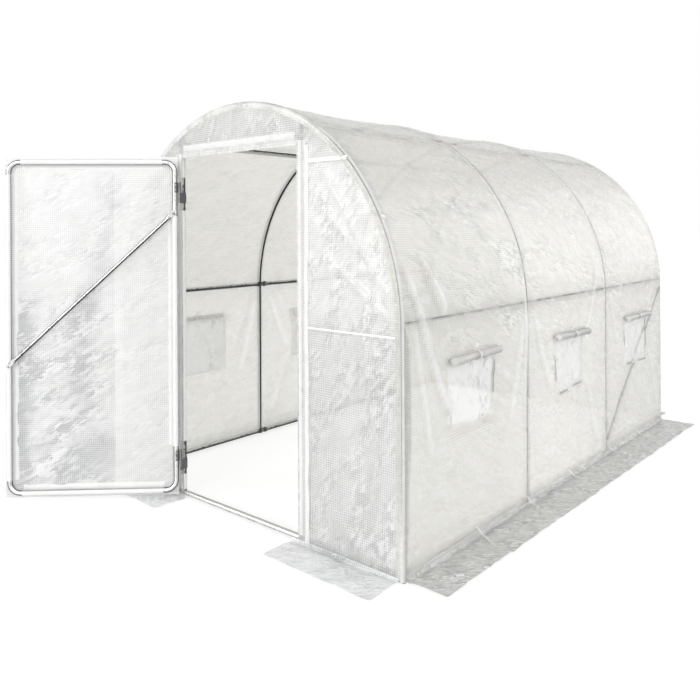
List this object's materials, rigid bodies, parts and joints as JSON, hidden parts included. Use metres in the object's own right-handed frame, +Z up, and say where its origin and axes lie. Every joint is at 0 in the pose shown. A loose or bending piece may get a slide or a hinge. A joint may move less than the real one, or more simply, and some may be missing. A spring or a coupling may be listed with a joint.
{
  "type": "polytunnel greenhouse",
  "caption": "Walk-in tunnel greenhouse: bent steel tube hoops under reinforced film, with a hinged door leaf, roll-up net windows and ground skirts.",
  "frame": {"origin": "on the ground, at the middle of the ground plan's bounding box with the door standing open as in the picture", "axes": "+X to the right seen from in front of the door, +Y along the tunnel from the front gable to the rear gable, +Z up"},
  "size_m": [2.3852, 3.9398, 2.0023],
  "materials": {
    "galvanised_tube": "galvanised, dull spangle",
    "leaf_brace_steel": "galvanised, dull",
    "hinge_steel": "dull zinc",
    "cover_film": "translucent reinforced film with a fine grid",
    "skirt_film": "translucent reinforced film, creased",
    "insect_net": "fine knitted net",
    "rolled_flap": "rolled film"
  },
  "bodies": {
    "tunnel": {"front_hoop_legs": "galvanised_tube", "front_hoop_arch": "galvanised_tube", "second_hoop_legs": "galvanised_tube", "second_hoop_arch": "galvanised_tube", "third_hoop_legs": "galvanised_tube", "third_hoop_arch": "galvanised_tube", "rear_hoop_legs": "galvanised_tube", "rear_hoop_arch": "galvanised_tube", "left_side_purlin": "galvanised_tube", "right_side_purlin": "galvanised_tube", "left_roof_purlin": "galvanised_tube", "right_roof_purlin": "galvanised_tube", "left_base_rail": "galvanised_tube", "right_base_rail": "galvanised_tube", "front_sill": "galvanised_tube", "rear_sill": "galvanised_tube", "front_gable_rails": "galvanised_tube", "left_door_post": "galvanised_tube", "right_door_post": "galvanised_tube", "door_lintel": "galvanised_tube", "rear_bay_braces": "galvanised_tube", "left_wall_film": "cover_film", "right_wall_film": "cover_film", "left_haunch_film": "cover_film", "crown_film": "cover_film", "right_haunch_film": "cover_film", "front_left_film": "cover_film", "front_right_film": "cover_film", "front_head_film": "cover_film", "rear_film": "cover_film", "front_skirts": "skirt_film", "left_skirt": "skirt_film", "right_skirt": "skirt_film", "rear_skirt": "skirt_film", "left_window_nets": "insect_net", "right_window_nets": "insect_net", "left_window_rolls": "rolled_flap", "right_window_rolls": "rolled_flap", "post_hinge_pins": "hinge_steel"},
    "door_leaf": {"door_top_bow": "galvanised_tube", "door_bottom_bow": "galvanised_tube", "door_stiles": "galvanised_tube", "door_brace": "leaf_brace_steel", "door_film": "cover_film", "door_hinge_eyes": "hinge_steel"}
  },
  "joints": [
    {"name": "door_swing", "type": "hinge", "parent": "tunnel", "child": "door_leaf", "pos_m": [-0.412, -1.3617, 0.9], "axis": [0, 0, 1], "range_deg": [-28, 137]}
  ]
}
